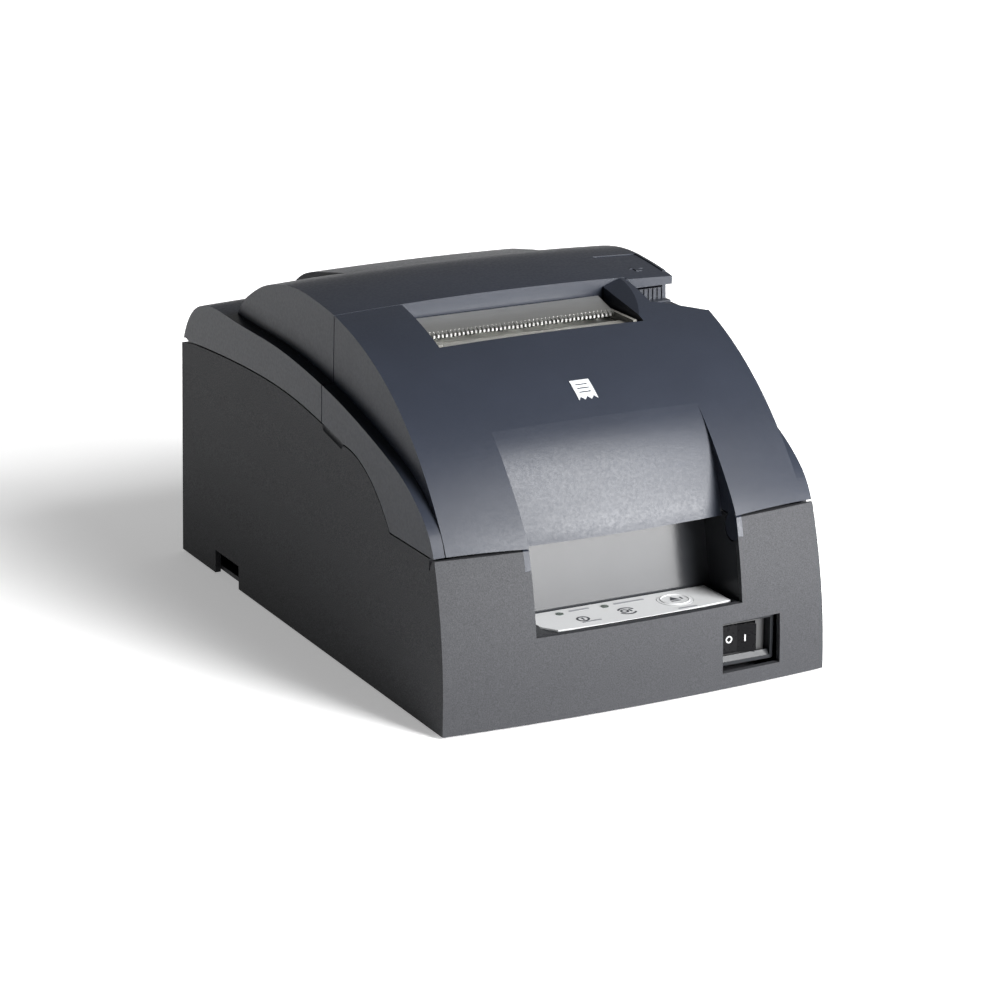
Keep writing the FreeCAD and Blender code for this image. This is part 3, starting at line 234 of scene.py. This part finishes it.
def dress(node, thing):
    """Give a CAD part its material, smooth shading and softened edges."""
    thing.data.materials.clear()
    thing.data.materials.append(MATERIALS[SLOT_OF[node]])
    for polygon in thing.data.polygons:
        polygon.use_smooth = True
    edge = thing.modifiers.new("edges", "BEVEL")
    edge.width = BEVEL.get(node, SMALL_BEVEL) * MM
    edge.segments = 3
    edge.limit_method = "ANGLE"
    edge.angle_limit = math.radians(SHARP_DEG)
    edge.harden_normals = True
    edge.use_clamp_overlap = True


for node_name, node_object in NODES.items():
    dress(node_name, node_object)


# ---- printed marks -------------------------------------------------------------------------
PRINT_T = 0.06 * MM       # thickness of the printed marks
MATERIALS["dark_print"] = moulded("dark_print", (0.025, 0.027, 0.032), 0.5, 2000.0, 0.00001)
MATERIALS["grey_print"] = moulded("grey_print", (0.18, 0.185, 0.195), 0.5, 2000.0, 0.00001)
MATERIALS["white_print"] = moulded("white_print", (0.37, 0.375, 0.38), 0.5, 2000.0, 0.00001)


def bar(cx, cy, width, height):
    """Upright rectangle. All shapes here are lists of polygons, in millimetres."""
    x, y = width / 2, height / 2
    return [[(cx - x, cy - y), (cx + x, cy - y), (cx + x, cy + y), (cx - x, cy + y)]]


def pill(cx, cy, width, height, steps=8):
    """Bar with round ends."""
    radius = height / 2
    ring = []
    for side, start in ((1, -math.pi / 2), (-1, math.pi / 2)):
        for i in range(steps + 1):
            angle = start + math.pi * i / steps
            centre = cx + side * (width / 2 - radius)
            ring.append((centre + radius * math.cos(angle), cy + radius * math.sin(angle)))
    return [ring]


def arc_band(cx, cy, radius, thickness, start=0.0, end=360.0, steps=40):
    """Quads of a ring, or of part of one, measured in degrees."""
    quads = []
    for i in range(steps):
        a, b = (math.radians(start + (end - start) * k / steps) for k in (i, i + 1))
        low, high = radius - thickness / 2, radius + thickness / 2
        corners = ((low, a), (high, a), (high, b), (low, b))
        quads.append([(cx + r * math.cos(t), cy + r * math.sin(t)) for r, t in corners])
    return quads


def printed(name, body, material, polygons, place):
    """Thin raised print: flat polygons in millimetres, set by the matrix place, each PRINT_T thick."""
    mesh = bmesh.new()
    for ring in polygons:
        low = [mesh.verts.new((x * MM, y * MM, 0.0)) for x, y in ring]
        high = [mesh.verts.new((x * MM, y * MM, PRINT_T)) for x, y in ring]
        mesh.faces.new(reversed(low))
        mesh.faces.new(high)
        for i in range(len(ring)):
            j = (i + 1) % len(ring)
            mesh.faces.new((low[i], low[j], high[j], high[i]))
    bmesh.ops.recalc_face_normals(mesh, faces=mesh.faces)
    data = bpy.data.meshes.new(name)
    mesh.to_mesh(data)
    mesh.free()
    data.transform(place)
    thing = bpy.data.objects.new(name, data)
    thing.data.materials.append(MATERIALS[material])
    bpy.context.scene.collection.objects.link(thing)
    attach(thing, body)


# all in millimetres
LENS_R = 1.5
LINE = 0.8                # thickness of the lines in the label's icons
WORD_T = 1.5              # height of the bars that stand in for words
SMALL_WORD_T = 1.3
BUTTON_RIM = 0.25         # height of the button's raised ring


def label_marks():
    """Bars in place of words, and two plain icons, each placed from the nearer status lens."""
    top = Matrix.Translation((0, 0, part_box("control_overlay")[1].z))
    lens_low, lens_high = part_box("status_lenses")
    left, right = lens_low.x / MM + LENS_R, lens_high.x / MM - LENS_R
    y = (lens_low.y + lens_high.y) / 2 / MM
    words = pill(left + 8.6, y + 1.0, 8.6, WORD_T) + pill(right + 10.4, y + 0.6, 13.0, WORD_T)
    words += pill(left + 7.0, y - 12.0, 8.0, SMALL_WORD_T) + pill(right + 27.0, y - 14.6, 8.0, SMALL_WORD_T)
    printed("label_word_bars", "chassis", "grey_print", words, top)
    icon_x, icon_y = left + 5.1, y - 8.6
    fault = arc_band(icon_x, icon_y, 2.2, LINE)
    fault += bar(icon_x, icon_y + 0.4, LINE, 1.5) + bar(icon_x, icon_y - 0.9, LINE, 0.6)
    printed("label_fault_icon", "chassis", "dark_print", fault, top)
    roll_x, roll_y = right + 4.9, y - 8.2
    roll = arc_band(roll_x - 0.9, roll_y + 0.2, 1.3, LINE)
    for start in (200.0, 20.0):
        roll += arc_band(roll_x, roll_y, 3.3, LINE, start, start + 130.0)
    roll += bar(roll_x + 1.5, roll_y + 0.1, LINE, 2.6)
    printed("label_paper_icon", "chassis", "dark_print", roll, top)


def button_marks():
    """Arrow over a line, for feeding paper, with a short bar beside it."""
    low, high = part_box("feed_button")
    cx, cy = (low.x + high.x) / 2 / MM, (low.y + high.y) / 2 / MM
    face = Matrix.Translation((0, 0, high.z - BUTTON_RIM * MM))
    arrow = [[(cx - 2.3, cy - 0.4), (cx + 1.7, cy - 0.4), (cx - 0.3, cy + 3.0)]]
    arrow += bar(cx - 0.3, cy - 1.5, 4.0, LINE) + bar(cx + 2.9, cy + 0.4, 0.7, 2.4)
    printed("feed_arrow", "feed_button", "dark_print", arrow, face)


ROCKER_MARKS = (("rocker_ring", 0.27, arc_band(0, 0, 1.15, 0.5)),     # name, share of the width, shape
                ("rocker_bar", 0.72, bar(0, 0, 0.55, 2.6)))
MARK_SINK = 0.02          # how far a mark's foot is sunk into the rocker
FACES_FRONT = -0.8        # a face whose normal has a y below this looks forward


def rocker_marks():
    """A ring on the rocker's left half and a bar on its right half, each lying on its own slope."""
    low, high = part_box("power_rocker")
    mesh = NODES["power_rocker"].data
    mid_z = (low.z + high.z) / 2
    up = Vector((0, 0, 1))
    front = [face for face in mesh.polygons if face.normal.y < FACES_FRONT]
    for name, share, shape in ROCKER_MARKS:
        x = low.x + share * (high.x - low.x)

        def distance(face):
            nearest = min(abs(mesh.vertices[v].co.x - x) for v in face.vertices)
            return nearest + abs(face.center.x - x)

        near = min(front, key=distance)
        normal = near.normal.copy()
        y = near.center.y - (x - near.center.x) * normal.x / normal.y
        turn = Matrix((up.cross(normal).normalized(), up, normal)).transposed().to_4x4()
        foot = Vector((x, y, mid_z)) - normal * MARK_SINK * MM
        printed(name, "power_rocker", "white_print", shape, Matrix.Translation(foot) @ turn)


label_marks()
button_marks()
rocker_marks()


# ---- floor, light and camera ---------------------------------------------------------------
FLOOR_SIZE = 14.0
FLOOR_Z = -0.0002
NEAR_PAINTED_GLOW, FAR_PAINTED_GLOW = 0.34, 0.95     # the ground glows by its own emission, a painted light: dimmer near the object as painted shade around it, brighter away from it
NEAR_M, FAR_M = 0.2, 1.2             # distances between which it brightens


def make_floor():
    bpy.ops.mesh.primitive_plane_add(size=FLOOR_SIZE, location=(0, 0, FLOOR_Z))
    floor = bpy.context.object
    floor.name = "floor"
    material = moulded("floor", (0.9, 0.9, 0.9), 0.9, 20.0, 0.0, mottle=0.005, rough_spread=0.01)
    tree = material.node_tree
    shader = tree.nodes["Principled BSDF"]
    distance = add(tree, "ShaderNodeVectorMath")
    distance.operation = "LENGTH"
    tree.links.new(object_coordinates(tree), distance.inputs[0])
    # painted light: the floor's emission grows with distance from the object, painted shade close to it and
    # a painted glow further out
    painted_glow = remap(tree, distance.outputs["Value"], NEAR_PAINTED_GLOW, FAR_PAINTED_GLOW, NEAR_M, FAR_M)
    tree.links.new(painted_glow, shader.inputs["Emission Strength"])
    shader.inputs["Emission Color"].default_value = (1, 1, 1, 1)
    floor.data.materials.append(material)


# name, place in metres, width and height in metres, power in watts
SOFTBOXES = (("tall_box", (0.70, -1.44, 0.62), (0.75, 1.15), 89.0),
             ("low_box", (0.86, -1.46, 0.17), (0.8, 0.36), 24.0),
             ("upper_box", (0.5, -1.0, 1.15), (0.7, 0.4), 16.0))
AIM = (0.0, 0.0, 0.07)    # middle of the printer, where the softboxes point


def softbox(name, location, size, power):
    data = bpy.data.lights.new(name, "AREA")
    data.shape = "RECTANGLE"
    data.size, data.size_y = size
    data.energy = power
    lamp = bpy.data.objects.new(name, data)
    lamp.location = location
    lamp.rotation_euler = (Vector(AIM) - Vector(location)).to_track_quat("-Z", "Y").to_euler()
    bpy.context.scene.collection.objects.link(lamp)


def make_world(bright, dim):
    """Studio surround: bright on the right, dim on the left."""
    world = bpy.data.worlds.new("studio")
    world.use_nodes = True
    tree = world.node_tree
    axes = add(tree, "ShaderNodeSeparateXYZ")
    tree.links.new(add(tree, "ShaderNodeTexCoord").outputs["Generated"], axes.inputs["Vector"])
    strength = remap(tree, axes.outputs["X"], dim, bright, -0.5, 0.5)
    tree.links.new(strength, tree.nodes["Background"].inputs["Strength"])
    tree.nodes["Background"].inputs["Color"].default_value = (1, 1, 1, 1)
    bpy.context.scene.world = world


CAMERA_AT = (-0.5925, -1.1621, 0.4526)
LOOK_ALONG = (0.4364, 0.8489, -0.2982)
LENS_MM = 125.2


def make_camera():
    data = bpy.data.cameras.new("camera")
    data.sensor_width = 36.0
    data.lens = LENS_MM
    data.clip_end = 20.0
    camera = bpy.data.objects.new("camera", data)
    camera.location = CAMERA_AT
    camera.rotation_euler = Vector(LOOK_ALONG).to_track_quat("-Z", "Y").to_euler()
    bpy.context.scene.collection.objects.link(camera)
    bpy.context.scene.camera = camera


bpy.context.scene.view_settings.view_transform = "Standard"
make_floor()
make_world(bright=0.3, dim=0.03)
for box_values in SOFTBOXES:
    softbox(*box_values)
make_camera()
